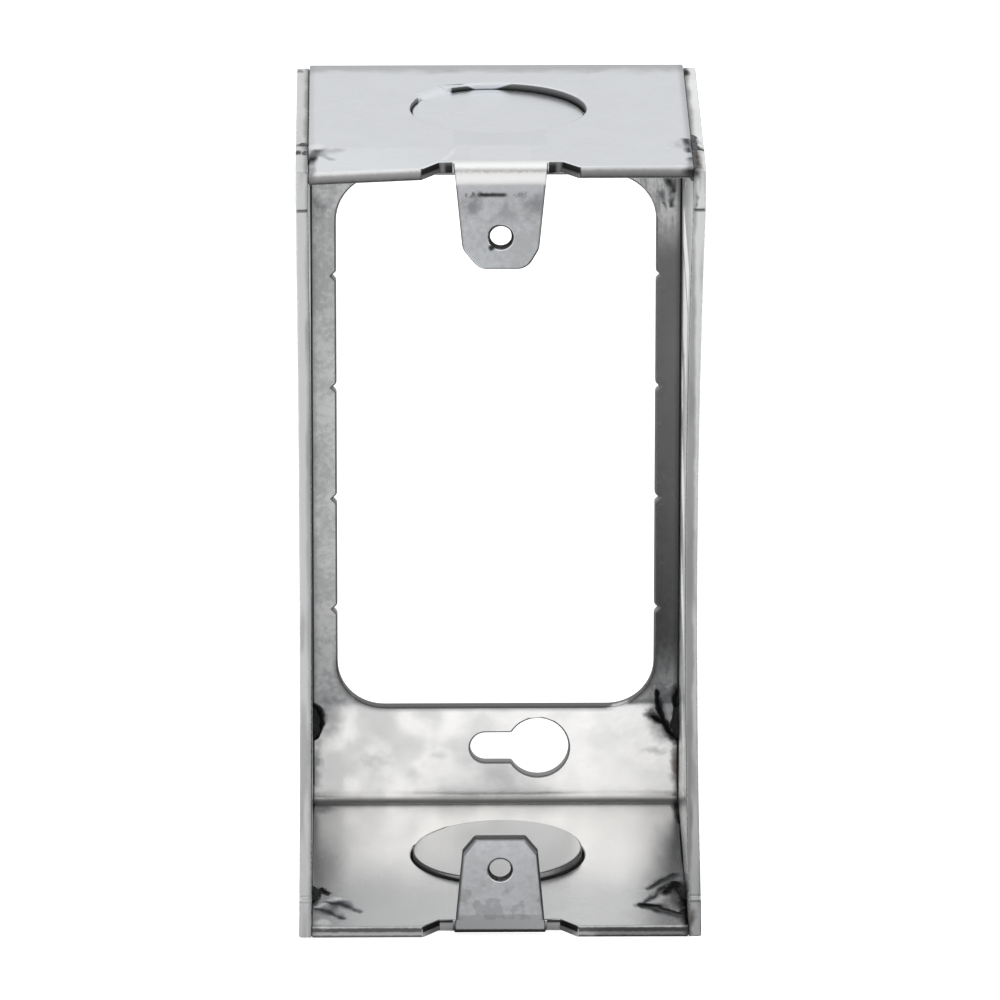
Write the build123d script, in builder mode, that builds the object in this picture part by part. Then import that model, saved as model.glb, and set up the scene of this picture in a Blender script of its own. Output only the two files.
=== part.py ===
import os

from build123d import *

# Welded sheet steel extension ring for a handy box, in millimetres.
# It stands on its bottom wall: +Z up, open front towards -Y, back towards +Y.

# Overall size and sheet
width = 50.8
height = 101.6
depth = 47.6
sheet = 1.6
bend_inside = 0.8

# Device ears, bent from the front ends of the strip; the upper one is rounder and leans to the right
ear_hole_inset = 9.13
ear_length = 13.3
ear_root_width = 11.6
ear_shoulder_width = 9.5
ear_hole = 3.0
lower_tip_width = 6.4
lower_shoulder_rise = 1.9
lower_corner = 0.45
upper_tip_width = 5.9
upper_shoulder_rise = 2.6
upper_corner = 2.2
upper_lean = 0.3
relief_floor_width = 15.4
relief_mouth_width = 19.4

# Front left corner of the top wall, which is bent down a little in front of its weld
corner_sag = 0.8
sag_clearance = 0.2

# Opening in the back, with the nicks its punch leaves along both long edges
opening_width = 41.0
opening_inset = 14.8
opening_corner = 6.0
nick_count = 4
nick_pitch = 15.05
nick_depth = 0.6

# Keyholes that hang the ring on the screws of the box behind
keyhole_head = 7.94
keyhole_slot = 4.0
keyhole_head_offset = 5.5
keyhole_slot_reach = 1.3

# Knockouts: each disc is sheared all round and held by one tie
knockout_diameter = 22.2
knockout_setback = 21.4
knockout_crack = 0.2
knockout_push = 0.8
knockout_tilt = 1.4
tie_width = 5.0
tie_root = 1.2
tie_run = 3.2
tie_angle = 138
side_knockout_count = 3
side_knockout_pitch = 29.4
side_tie_width = 2.6
side_tie_angle = 90

# Side plates, whose free front edges lean in between two proud corner lands
side_drop = 0.4
land_height = 5.2
land_relief = 0.45
flat_rim = 4.0
left_bow = 0.25
right_bow = 0.75

# Weld beads in the inner corners
weld_leg = 1.0
weld_length = 4.0
weld_setback = 11.0
weld_rise = 12.6

# Derived places
inner_width = width - 2 * sheet
fold = bend_inside + sheet
front = -depth / 2
back = depth / 2
middle = height / 2
ear_hole_height = height - ear_hole_inset
ear_spacing = height - 2 * ear_hole_inset
opening_height = height - 2 * opening_inset
knockout_radius = knockout_diameter / 2
knockout_centre = back - knockout_setback
tie_start = knockout_radius + tie_root
side_height = height - side_drop
flat_start = back - flat_rim
sag_run = weld_setback - weld_length / 2 - sag_clearance
mid_plane = Plane.XY.offset(middle)
back_plane = Plane.XZ.offset(-back)

os.makedirs("parts", exist_ok=True)


def make_ear(tip_width, shoulder_rise, corner, lean):
    # Bent tab at the top wall, trimmed to its outline and drilled for the device screw
    tip = height - ear_length
    with BuildPart() as ear:
        with BuildSketch(Plane.YZ):
            with BuildLine():
                bend_centre = (front + fold, height - fold)
                CenterArc(bend_centre, fold, 90, 90)
                Polyline(
                    (front, height - fold),
                    (front, tip),
                    (front + sheet, tip),
                    (front + sheet, height - fold),
                )
                CenterArc(bend_centre, bend_inside, 90, 90)
                Line((front + fold, height - sheet), (front + fold, height))
            make_face()
        extrude(amount=ear_root_width / 2, both=True)
        with BuildSketch(Plane.XZ) as outline:
            with BuildLine():
                Polyline(
                    (-ear_root_width / 2, height),
                    (-ear_shoulder_width / 2, tip + shoulder_rise),
                    (lean - tip_width / 2, tip),
                    (lean + tip_width / 2, tip),
                    (ear_shoulder_width / 2, tip + shoulder_rise),
                    (ear_root_width / 2, height),
                    close=True,
                )
            make_face()
            fillet(outline.vertices().sort_by(Axis.Y)[:4], corner)
            with Locations((0, ear_hole_height)):
                Circle(ear_hole / 2, mode=Mode.SUBTRACT)
        extrude(amount=depth, both=True, mode=Mode.INTERSECT)
    return ear.part


upper_ear = make_ear(upper_tip_width, upper_shoulder_rise, upper_corner, upper_lean)
lower_ear = make_ear(lower_tip_width, lower_shoulder_rise, lower_corner, 0)

# Pushed-in knockout of the top wall: a tilted disc and the stretched tie that ramps down to it
with BuildPart() as end_knockout:
    disc_plane = Plane((0, knockout_centre, height - knockout_push)).rotated((0, knockout_tilt, 0))
    with BuildSketch(disc_plane):
        Circle(knockout_radius - knockout_crack)
    extrude(amount=-sheet)
    tie_plane = Plane(
        origin=(0, knockout_centre, height),
        x_dir=Vector(1, 0, 0).rotate(Axis.Z, tie_angle),
        z_dir=Vector(0, -1, 0).rotate(Axis.Z, tie_angle),
    )
    with BuildSketch(tie_plane):
        with BuildLine():
            Polyline(
                (tie_start, 0),
                (tie_start - tie_run, -knockout_push),
                (tie_start - tie_run, -knockout_push - sheet / 2),
                (tie_start, -sheet),
                close=True,
            )
        make_face()
    extrude(amount=tie_width / 2, both=True)

# Folded strip: top wall, back and bottom wall in one piece, with both ears
with BuildPart() as channel:
    with BuildSketch(Plane.YZ) as section:
        with Locations((0, middle)):
            Rectangle(depth, height)
        with Locations((front, middle)):
            inside_align = (Align.MIN, Align.CENTER)
            Rectangle(depth - sheet, height - 2 * sheet, align=inside_align, mode=Mode.SUBTRACT)
        fillet(section.vertices().group_by(Axis.X)[-2], bend_inside)
        fillet(section.vertices().group_by(Axis.X)[-1], fold)
    extrude(amount=inner_width / 2, both=True)

    # Left front corner of the top wall: cut out and put back with its outer end bent down
    with BuildSketch(Plane.XY.offset(height)):
        with Locations((-inner_width / 2, front)):
            corner_align = (Align.MIN, Align.MIN)
            Rectangle((inner_width - ear_root_width) / 2, sag_run, align=corner_align)
    extrude(amount=-sheet, mode=Mode.SUBTRACT)
    for section_y, sag in ((front, corner_sag), (front + sag_run, 0)):
        with BuildSketch(Plane.XZ.offset(-section_y)):
            with BuildLine():
                Polyline(
                    (-inner_width / 2, height - sag),
                    (-ear_root_width / 2, height),
                    (-ear_root_width / 2, height - sheet),
                    (-inner_width / 2, height - sheet - sag),
                    close=True,
                )
            make_face()
    loft(ruled=True)

    # Front of both walls cut back to the bend line, with a relief notch beside each ear
    with BuildSketch(Plane.XY):
        with BuildLine():
            Polyline(
                (-relief_mouth_width / 2, front),
                (relief_mouth_width / 2, front),
                (relief_floor_width / 2, front + fold),
                (-relief_floor_width / 2, front + fold),
                close=True,
            )
        make_face()
    extrude(amount=height, mode=Mode.SUBTRACT)
    add(upper_ear)
    mirror(lower_ear, about=mid_plane)

    # Knockout holes through both walls, each with a notch for its tie, then their discs
    with BuildSketch(Plane.XY):
        with Locations((0, knockout_centre)):
            Circle(knockout_radius)
            with PolarLocations(tie_start, 1, tie_angle):
                Rectangle(tie_run, tie_width, align=(Align.MAX, Align.CENTER))
    extrude(amount=height, mode=Mode.SUBTRACT)
    add(end_knockout.part)
    mirror(end_knockout.part, about=mid_plane)

    # Back opening and the two keyholes
    with BuildSketch(back_plane):
        with Locations((0, middle)):
            RectangleRounded(opening_width, opening_height, opening_corner)
            with GridLocations(opening_width, nick_pitch, 2, nick_count):
                RegularPolygon(nick_depth, 4)
        with Locations((0, middle)):
            with GridLocations(0, ear_spacing, 1, 2):
                with Locations((keyhole_head_offset, 0)):
                    Circle(keyhole_head / 2)
                with Locations(((keyhole_head_offset - keyhole_slot_reach) / 2, 0)):
                    SlotCenterToCenter(keyhole_head_offset + keyhole_slot_reach, keyhole_slot)
    extrude(amount=sheet, mode=Mode.SUBTRACT)
channel.part.label = "channel"
export_step(channel.part, "parts/channel.step")


def make_side(side, bow):
    # Flat corner lands and rear rim, cut from the sheet as one frame
    upper_land = side_height - land_height
    with BuildPart() as plate:
        with BuildSketch(Plane.YZ.offset(side * inner_width / 2)) as frame:
            with Locations((0, side_height / 2)):
                Rectangle(depth, side_height)
            fillet(frame.vertices().group_by(Axis.X)[-1], fold)
            with Locations((front, side_height / 2)):
                panel = (flat_start - front, upper_land - land_height)
                Rectangle(*panel, align=(Align.MIN, Align.CENTER), mode=Mode.SUBTRACT)
        extrude(amount=side * sheet)

        # Panel between them, straight at the rim and leaning in at the free front edge
        for section_y, lean in ((front, side * bow), (flat_start, 0)):
            with BuildSketch(Plane.XZ.offset(-section_y)):
                with BuildLine():
                    for face in (side * inner_width / 2, side * width / 2):
                        ends = (face, land_height), (face, upper_land)
                        if lean:
                            ThreePointArc(ends[0], (face - lean, side_height / 2), ends[1])
                        else:
                            Line(*ends)
                    for level in (land_height, upper_land):
                        Line((side * inner_width / 2, level), (side * width / 2, level))
                make_face()
        loft(ruled=True)

        # Front edge cut back between the corner lands
        with BuildSketch(Plane.YZ):
            with Locations((front, side_height / 2)):
                Rectangle(2 * land_relief, side_height - 2 * land_height)
        extrude(amount=width, both=True, mode=Mode.SUBTRACT)

        # Sheared ring round each flush knockout, open except at its tie
        with BuildSketch(Plane.YZ):
            with Locations((knockout_centre, middle)):
                with GridLocations(0, side_knockout_pitch, 1, side_knockout_count):
                    Circle(knockout_radius)
                with GridLocations(0, side_knockout_pitch, 1, side_knockout_count):
                    Circle(knockout_radius - knockout_crack, mode=Mode.SUBTRACT)
                    with PolarLocations(knockout_radius, 1, side_tie_angle):
                        Rectangle(4 * knockout_crack, side_tie_width, mode=Mode.SUBTRACT)
        extrude(amount=width, both=True, mode=Mode.SUBTRACT)
    return plate.part


for side_name, side, bow in (("left_side", -1, left_bow), ("right_side", 1, right_bow)):
    side_plate = make_side(side, bow)
    side_plate.label = side_name
    export_step(side_plate, f"parts/{side_name}.step")

# One weld bead: a quarter round with ball ends, lying along +Z in the corner of +X and +Y
with BuildPart() as bead:
    straight = weld_length - 2 * weld_leg
    with BuildSketch(Plane.XZ):
        with Locations((0, 0)):
            SlotCenterToCenter(straight, 2 * weld_leg, rotation=90)
            Rectangle(weld_leg, weld_length, align=(Align.MAX, Align.CENTER), mode=Mode.SUBTRACT)
    revolve(axis=Axis.Z, revolution_arc=90)

# Eight beads tie the side plates to the walls and to the back
with BuildPart() as corner_welds:
    inner_face = inner_width / 2
    wall_y = front + weld_setback
    for side in (-1, 1):
        corner_x = side * inner_face
        for level, up in ((sheet, 1), (height - sheet, -1)):
            wall_corner = Plane((corner_x, wall_y, level), x_dir=(-side, 0, 0), z_dir=(0, side * up, 0))
            add(bead.part.moved(wall_corner.location))
        for level in (weld_rise, height - weld_rise):
            turn = 180 if side > 0 else 270
            add(bead.part.rotate(Axis.Z, turn).moved(Location((corner_x, back - sheet, level))))
corner_welds.part.label = "corner_welds"
export_step(corner_welds.part, "parts/corner_welds.step")
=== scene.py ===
import math
from types import SimpleNamespace

import bpy
import numpy as np
from mathutils import Matrix, Vector


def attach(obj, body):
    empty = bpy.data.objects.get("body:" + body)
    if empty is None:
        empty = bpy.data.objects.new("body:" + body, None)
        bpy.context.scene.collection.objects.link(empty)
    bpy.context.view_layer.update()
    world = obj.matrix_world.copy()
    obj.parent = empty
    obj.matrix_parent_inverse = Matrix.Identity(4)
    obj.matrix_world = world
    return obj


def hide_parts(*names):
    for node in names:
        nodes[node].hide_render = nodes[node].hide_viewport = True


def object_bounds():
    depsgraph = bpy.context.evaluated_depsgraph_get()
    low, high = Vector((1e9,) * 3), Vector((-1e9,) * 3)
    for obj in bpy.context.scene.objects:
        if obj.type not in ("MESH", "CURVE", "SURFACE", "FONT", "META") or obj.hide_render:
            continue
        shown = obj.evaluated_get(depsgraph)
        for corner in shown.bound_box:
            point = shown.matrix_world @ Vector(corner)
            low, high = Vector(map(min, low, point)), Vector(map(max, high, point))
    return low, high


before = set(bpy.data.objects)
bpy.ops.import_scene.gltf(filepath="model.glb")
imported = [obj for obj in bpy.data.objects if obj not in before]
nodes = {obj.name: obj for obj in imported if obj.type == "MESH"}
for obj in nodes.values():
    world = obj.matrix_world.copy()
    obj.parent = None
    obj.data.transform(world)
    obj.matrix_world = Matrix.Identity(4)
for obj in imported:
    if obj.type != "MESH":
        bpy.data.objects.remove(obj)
bpy.context.view_layer.update()
cadBox = [list(corner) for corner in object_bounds()]
scene = bpy.context.scene
mm = 0.001
print("frame loaded", cadBox)

# Node helpers: every material and modifier group below is built from these


class Wire:
    # an output socket of a node tree; the usual signs between wires and numbers make Math nodes
    def __init__(self, tree, socket):
        self.tree = tree
        self.socket = socket

    def __add__(self, other):
        return calc("ADD", self, other)

    def __radd__(self, other):
        return calc("ADD", other, self)

    def __sub__(self, other):
        return calc("SUBTRACT", self, other)

    def __rsub__(self, other):
        return calc("SUBTRACT", other, self)

    def __mul__(self, other):
        return calc("MULTIPLY", self, other)

    def __truediv__(self, other):
        return calc("DIVIDE", self, other)

    def __abs__(self):
        return calc("ABSOLUTE", self)


def put(tree, socket, value):
    # a wire is linked, anything else becomes the socket's own value
    if isinstance(value, Wire):
        tree.links.new(value.socket, socket)
    else:
        socket.default_value = value


def addNode(tree, kind, inputs=None, **settings):
    node = tree.nodes.new(kind)
    for name, value in settings.items():
        setattr(node, name, value)
    for name, value in (inputs or {}).items():
        put(tree, node.inputs[name], value)
    return node


def wire(tree, kind, inputs=None, output=0, **settings):
    return Wire(tree, addNode(tree, kind, inputs, **settings).outputs[output])


def treeOf(values):
    return next(value.tree for value in values if isinstance(value, Wire))


def calc(operation, *values, clamp=False):
    inputs = dict(enumerate(values))
    return wire(treeOf(values), "ShaderNodeMath", inputs, operation=operation, use_clamp=clamp)


def share(value, whole):
    return calc("DIVIDE", value, whole, clamp=True)


def larger(first, second):
    return calc("MAXIMUM", first, second)


def smaller(first, second):
    return calc("MINIMUM", first, second)


def vec(operation, *values):
    inputs = dict(enumerate(values))
    if operation == "SCALE":
        inputs = {0: values[0], "Scale": values[1]}
    output = "Value" if operation in ("LENGTH", "DOT_PRODUCT") else "Vector"
    return wire(treeOf(values), "ShaderNodeVectorMath", inputs, output, operation=operation)


def separate(vector):
    node = addNode(vector.tree, "ShaderNodeSeparateXYZ", {0: vector})
    return [Wire(vector.tree, socket) for socket in node.outputs]


def ramp(value, low, high, toLow=0.0, toHigh=1.0):
    # smooth step from toLow at low to toHigh at high
    inputs = dict(enumerate((value, low, high, toLow, toHigh)))
    return wire(value.tree, "ShaderNodeMapRange", inputs, interpolation_type="SMOOTHSTEP")


def band(value, low, high, soft):
    # 1 between low and high, with soft ends
    return ramp(value, low - soft, low + soft) * ramp(value, high - soft, high + soft, 1.0, 0.0)


def noise(coords, scale, detail=3.0, roughness=0.55, stretch=None):
    if stretch:
        coords = vec("MULTIPLY", coords, stretch)
    inputs = {"Vector": coords, "Scale": scale, "Detail": detail, "Roughness": roughness}
    return wire(coords.tree, "ShaderNodeTexNoise", inputs, "Fac")


def mixColour(factor, first, second):
    ends = [value if isinstance(value, Wire) else (*value, 1.0) for value in (first, second)]
    return wire(factor.tree, "ShaderNodeMix", {0: factor, 6: ends[0], 7: ends[1]}, 2, data_type="RGBA")


def mixValue(factor, first, second):
    return wire(factor.tree, "ShaderNodeMix", {0: factor, 2: first, 3: second}, data_type="FLOAT")


def greyBands(position, stops):
    # grey levels at given shares, blended in between; the first share is 0 and the last is 1
    node = addNode(position.tree, "ShaderNodeValToRGB", {0: position})
    elements = node.color_ramp.elements
    for place, _ in stops[1:-1]:
        elements.new(place)
    for element, (_, grey) in zip(elements, stops):
        element.color = (grey, grey, grey, 1.0)
    return Wire(position.tree, node.outputs[0])


def pathReach(place, path, radii):
    # distance to the nearest run between the points, as a share of the radius there
    nearest = None
    for start, end, startRadius, endRadius in zip(path, path[1:], radii, radii[1:]):
        run = Vector(end) - Vector(start)
        offset = vec("SUBTRACT", place, start)
        along = share(vec("DOT_PRODUCT", offset, tuple(run)), run.length_squared)
        gap = vec("LENGTH", vec("SUBTRACT", offset, vec("SCALE", tuple(run), along)))
        reach = gap / mixValue(along, startRadius, endRadius)
        nearest = reach if nearest is None else smaller(nearest, reach)
    return nearest


def faceAxis(tree, axis):
    # how far the face looks along one axis, from -1 to 1
    return separate(wire(tree, "ShaderNodeNewGeometry", output="True Normal"))[axis]


def flatness(tree, axis):
    return abs(faceAxis(tree, axis))


def leaning(lean):
    # the surface's own normal, turned a little
    normal = wire(lean.tree, "ShaderNodeNewGeometry", output="Normal")
    return vec("NORMALIZE", vec("ADD", normal, lean))


def emptyMaterial(name):
    material = bpy.data.materials.new(name)
    material.use_nodes = True
    material.node_tree.nodes.clear()
    return material, material.node_tree


def startMaterial(name):
    # a Principled shader on the output, and the place on the part in millimetres
    material, tree = emptyMaterial(name)
    shader = addNode(tree, "ShaderNodeBsdfPrincipled")
    addNode(tree, "ShaderNodeOutputMaterial", {0: Wire(tree, shader.outputs[0])})
    place = vec("SCALE", wire(tree, "ShaderNodeTexCoord", output="Object"), 1 / mm)
    return material, shader, place


def finish(shader, colour, metallic, rough, height, depth, facing=None):
    # colour, shine and a fine bump whose depth is in millimetres
    bump = {"Height": height, "Strength": 0.3, "Distance": depth * mm}
    if facing:
        bump["Normal"] = facing
    values = {"Base Color": colour, "Metallic": metallic, "Roughness": rough,
              "Normal": wire(colour.tree, "ShaderNodeBump", bump)}
    for name, value in values.items():
        put(colour.tree, shader.inputs[name], value)


# Zinc plate: cloudy grey, cool outside and warm in the lower corner, with sheared edges, heat stains, and
# painted light and shade

zincLook = {
    "light": (0.84, 0.843, 0.85),
    "cool": (0.83, 0.853, 0.885),
    "dull": (0.60, 0.605, 0.61),
    "coolDull": (0.58, 0.598, 0.625),
    "coolPale": (0.88, 0.90, 0.93),
    "rim": (0.53, 0.54, 0.555),
    "warm": (0.985, 0.977, 0.964),
    "edge": (0.16, 0.16, 0.16),
    "edgeMid": (0.40, 0.40, 0.40),
    "openingEdge": (0.34, 0.34, 0.34),
    "notchSpot": (0.28, 0.275, 0.275),
    "discEnd": (0.22, 0.22, 0.22),
    "discFoot": (0.04, 0.04, 0.04),
    "discHead": (0.26, 0.26, 0.26),
    "discLeft": (0.24, 0.24, 0.24),
    "blotch": (0.32, 0.32, 0.33),
    "fold": (0.13, 0.13, 0.13),
    "bend": (0.89, 0.892, 0.896),
    "bendShadeBand": (0.44, 0.425, 0.41),
    "creaseShade": (0.30, 0.297, 0.29),
    "grime": (0.25, 0.25, 0.255),
    "midGrey": (0.50, 0.505, 0.51),
    "black": (0.0, 0.0, 0.0),
    "roughness": 0.20,
    "landRoughness": 0.18,
    "bendRoughness": 0.32,
    "edgeRoughness": 0.55,
    "grainRoughness": 0.10,
    "bumpDepth": 0.02,
}
sheetSize = {"inner": 23.8, "height": 101.6, "sheet": 1.6, "back": 22.2}
halfHeight = sheetSize["height"] / 2
earOutline = {"length": 13.3, "rise": 2.2, "slope": 0.095, "shoulder": 4.75, "tip": 3.1, "cornerSlope": 0.75}
knockout = {"centre": (0.0, 2.4, 0.0), "level": 100.8, "slope": 0.0244, "push": 0.8, "tie": (-8.4, 9.9, 0.0)}
opening = {"half": 20.5, "reach": 36.0, "corner": 6.0, "shade": 0.9}
landBulge = {"left": 0.195, "middle": 0.235, "right": 0.225}
cornerSag = {"drop": 0.8, "start": -5.8, "run": 18.0, "yStart": -15.0, "yRun": 8.8}
# Where the masks for the parts of the folded strip go from 0 to 1, in millimetres
stripParts = {
    "top": (97.6, 98.4),
    "floor": (3.3, 2.9),
    "floorBack": (22.0, 21.4),
    "earFront": (-21.9, -22.1),
    "earSide": (6.2, 6.0),
    "back": (21.6, 22.1),
    "bendFront": (-20.7, -21.5),
    "bendSide": (5.9, 5.7),
    "bendFoot": (98.9, 99.5),
}
# Grey levels up the ends of the walls, from the lower rim at 0 to the upper rim at 1, with painted
# highlights and painted shade among the sheared faces' own tones
wallEnds = {
    "upper": ((0.0, 0.07), (0.12, 0.12), (0.28, 0.285), (0.65, 0.50), (0.82, 0.88), (1.0, 0.92)),
    "lower": ((0.0, 0.16), (0.18, 0.22), (0.28, 0.66), (0.45, 0.59), (0.56, 0.18), (0.78, 0.18),
              (0.90, 0.65), (1.0, 0.75)),
    "upperNotch": ((0.0, 0.03), (0.6, 0.05), (0.9, 0.2), (1.0, 0.6)),
    "upperSlant": ((0.0, 0.35), (0.35, 0.25), (0.5, 0.03), (0.9, 0.04), (1.0, 0.5)),
    "lowerNotch": ((0.0, 0.75), (0.65, 0.7), (0.78, 0.06), (0.9, 0.06), (1.0, 0.6)),
    "lowerSlant": ((0.0, 0.6), (0.4, 0.5), (0.52, 0.03), (0.92, 0.03), (1.0, 0.4)),
    "lowerDisc": ((0.0, 0.05), (0.22, 0.05), (0.36, 0.45), (0.6, 0.78), (1.0, 0.8)),
}
# What the stains leave: their colour, and how far they take the metal's shine away
sootAndShade = {"colour": (0.02, 0.02, 0.02), "matt": 1.0}
dusk = {"colour": (0.05, 0.056, 0.072), "matt": 0.9}
rust = {"colour": (0.09, 0.07, 0.055), "matt": 0.9}
heat = {"colour": (0.185, 0.192, 0.205), "matt": 0.35}
ash = {"colour": (0.42, 0.43, 0.43), "matt": 0.0}
bloomAndHighlight = {"colour": (0.97, 0.968, 0.965), "matt": 0.0}
scratch = {"colour": (0.95, 0.975, 1.0), "matt": 0.0}


def spot(stain, centre, radii, strength, soft, ragged=1.0):
    # an ellipsoid of stain, in millimetres, whose cover starts to fade at the share called soft
    return {"stain": stain, "centre": centre, "radii": radii, "strength": strength, "soft": soft,
            "ragged": ragged}


def mark(stain, path, radii, strength=0.97):
    # a drawn mark: the path's points and the radius of the cover at each
    return {"stain": stain, "path": path, "radii": radii, "strength": strength}


def onBack(*points):
    return [(x, sheetSize["back"], z) for x, z in points]


def onFloor(*points):
    return [(x, y, sheetSize["sheet"]) for x, y in points]


channelStains = (
    spot(heat, (-22.2, 22.2, 13.0), (3.2, 1.5, 4.6), 0.6, 0.2, 0.2),
    spot(heat, (-23.4, 22.2, 7.0), (1.2, 1.0, 5.0), 0.7, 0.1),
    spot(heat, (22.2, 22.2, 13.6), (3.3, 1.5, 5.0), 0.75, 0.3, 0.5),
    spot(rust, (23.5, 22.2, 6.6), (1.0, 1.0, 4.0), 0.7, 0.1),
    spot(heat, (20.8, 22.2, 8.6), (2.4, 1.0, 0.8), 0.35, 0.0),
    spot(bloomAndHighlight, (16.2, 22.2, 13.4), (2.6, 1.0, 3.4), 0.9, 0.2),
    spot(bloomAndHighlight, (18.6, 22.2, 10.2), (2.6, 1.0, 1.2), 0.7, 0.2),
    spot(bloomAndHighlight, (-18.6, 22.2, 12.8), (0.9, 1.0, 4.0), 0.7, 0.1),
    spot(ash, (-15.7, 22.2, 7.4), (3.0, 0.8, 1.8), 0.45, 0.0),
    spot(ash, (-7.4, 22.2, 8.0), (1.6, 0.8, 1.0), 0.35, 0.0),
    spot(heat, (-23.0, 22.2, 82.6), (1.4, 0.8, 2.4), 0.6, 0.2),
    spot(heat, (-22.8, 19.6, 1.6), (2.2, 2.6, 0.8), 0.7, 0.2),
    spot(heat, (-21.8, 0.6, 1.6), (3.4, 11.0, 0.8), 0.45, 0.0, 0.25),
    spot(heat, (22.8, 4.0, 1.6), (3.8, 14.0, 0.8), 0.85, 0.0, 0.2),
    spot(bloomAndHighlight, (15.0, -3.0, 1.6), (4.5, 9.0, 0.8), 0.45, 0.0, 0.4),
    spot(bloomAndHighlight, (-22.4, -22.4, 1.6), (1.4, 1.4, 0.6), 0.8, 0.3),
    spot(sootAndShade, (23.5, -21.6, 1.6), (1.3, 3.2, 0.8), 0.85, 0.2),
    # painted highlight beside the weld at the front left of the top
    spot(bloomAndHighlight, (-22.8, -14.6, 101.4), (1.3, 1.5, 0.9), 0.95, 0.3),
    spot(sootAndShade, (-23.2, -18.8, 101.2), (1.0, 2.4, 1.0), 0.95, 0.2, 0.7),
    spot(heat, (-23.4, -22.4, 100.6), (0.8, 2.4, 1.2), 0.7, 0.2),
    spot(ash, (22.2, -14.4, 101.6), (1.6, 2.6, 0.6), 0.5, 0.1),
    spot(heat, (-3.5, -23.8, 96.3), (1.4, 4.0, 1.5), 0.45, 0.0, 2.0),
    spot(heat, (3.8, -23.8, 96.7), (2.0, 4.0, 1.6), 0.40, 0.0, 2.0),
    # painted shadow at the lower left of the upper ear's hole
    spot(sootAndShade, (-1.0, -23.8, 91.0), (0.5, 4.0, 0.45), 0.95, 0.2, 1.2),
)
channelMarks = (
    mark(sootAndShade, onBack((-23.7, 15.2), (-22.9, 14.3), (-22.6, 12.9), (-23.4, 10.6)), (0.4, 0.8, 0.8, 0.4)),
    mark(sootAndShade, onBack((20.8, 17.4), (21.1, 15.0), (21.7, 13.1), (22.5, 11.4), (23.7, 10.0)),
         (0.5, 0.8, 0.9, 0.9, 0.8)),
    mark(sootAndShade, onBack((20.1, 13.8), (21.3, 12.9)), (0.9, 0.7)),
    mark(sootAndShade, onBack((23.4, 17.4), (23.4, 13.4)), (0.8, 0.5)),
    mark(sootAndShade, onBack((22.2, 86.0), (22.6, 83.0)), (0.9, 0.5)),
    mark(heat, onBack((21.0, 84.6), (21.8, 82.4)), (0.5, 0.3)),
    mark(bloomAndHighlight, onBack((18.6, 84.6), (21.2, 80.6)), (1.0, 0.4)),
    mark(bloomAndHighlight, onFloor((-23.2, -16.4), (-20.6, -14.2)), (0.6, 1.0)),
    mark(sootAndShade, onFloor((-23.7, -16.0), (-23.3, -12.5), (-22.7, -10.4)), (0.5, 0.8, 0.7)),
    mark(sootAndShade, onFloor((-22.7, -10.4), (-21.7, -12.2)), (0.7, 0.5)),
    mark(dusk, onFloor((-22.2, -15.2), (-20.4, -15.8), (-17.8, -18.2)), (0.5, 1.7, 0.6)),
    mark(dusk, onFloor((-23.4, -17.2), (-21.8, -18.4), (-19.8, -21.0)), (0.5, 1.7, 0.5)),
    mark(dusk, onFloor((19.2, -10.2), (22.4, -5.2)), (0.7, 1.0)),
    # painted highlight beside the weld metal at the front right of the bottom wall
    mark(bloomAndHighlight, onFloor((19.4, -16.8), (21.6, -11.8)), (1.0, 0.8)),
    mark(dusk, onFloor((18.4, -15.8), (20.2, -11.6), (22.0, -8.2)), (0.6, 0.6, 0.7)),
    mark(sootAndShade, onFloor((21.2, -12.2), (22.5, -8.6), (23.6, -17.0)), (1.2, 2.0, 1.8)),
    mark(sootAndShade, onFloor((18.1, -16.4), (20.0, -17.2)), (1.2, 1.9)),
    mark(dusk, onFloor((19.2, -18.0), (23.7, -20.8)), (0.8, 1.2)),
    mark(sootAndShade, onFloor((23.4, 21.2), (23.6, 14.0)), (0.8, 0.4)),
    mark(sootAndShade, ((-23.8, -20.8, 101.0), (-22.6, -16.6, 101.4)), (0.9, 1.0)),
    mark(heat, ((-23.0, -17.6, 101.4), (-19.8, -15.8, 101.6)), (1.6, 0.8), 0.4),
    mark(heat, ((-22.9, -17.8, 101.4), (-21.0, -18.8, 101.3)), (1.6, 0.8), 0.55),
    mark(dusk, ((23.2, -12.4, 101.6), (23.4, -17.6, 101.6)), (0.9, 0.6)),
    mark(sootAndShade, ((23.4, -23.6, 100.6), (23.6, -20.6, 101.4)), (1.1, 0.8)),
    mark(scratch, ((-6.9, -20.2, 101.6), (-5.6, -16.2, 101.6)), (0.55, 0.4)),
)


def coat(cover, colour, matt, stain):
    return mixColour(cover, colour, stain["colour"]), mixValue(cover, matt, stain["matt"])


def stainOver(place, colour, stains, marks):
    # each stain and each mark is laid over the last; noise shifts them a little and breaks up their rims
    grainPlace = vec("MULTIPLY", place, (1.0, 0.35, 1.0))
    inputs = {"Vector": grainPlace, "Scale": 0.5, "Detail": 1.5}
    shift = wire(place.tree, "ShaderNodeTexNoise", inputs, "Color")
    shift = vec("SUBTRACT", shift, (0.5, 0.5, 0.5))
    moved = vec("ADD", place, vec("MULTIPLY", shift, (1.2, 2.4, 1.2)))
    ragged = noise(grainPlace, 0.9, 3.0, 0.6) - 0.5
    matt = 0.0
    for stain in stains:
        offset = vec("DIVIDE", vec("SUBTRACT", moved, stain["centre"]), stain["radii"])
        reach = vec("LENGTH", offset) + ragged * stain["ragged"]
        cover = ramp(reach, stain["soft"], 1.05, stain["strength"], 0.0)
        colour, matt = coat(cover, colour, matt, stain["stain"])
    for drawn in marks:
        reach = pathReach(moved, drawn["path"], drawn["radii"]) + ragged
        cover = ramp(reach, -0.1, 1.2, drawn["strength"], 0.0)
        colour, matt = coat(cover, colour, matt, drawn["stain"])
    return colour, matt


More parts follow.
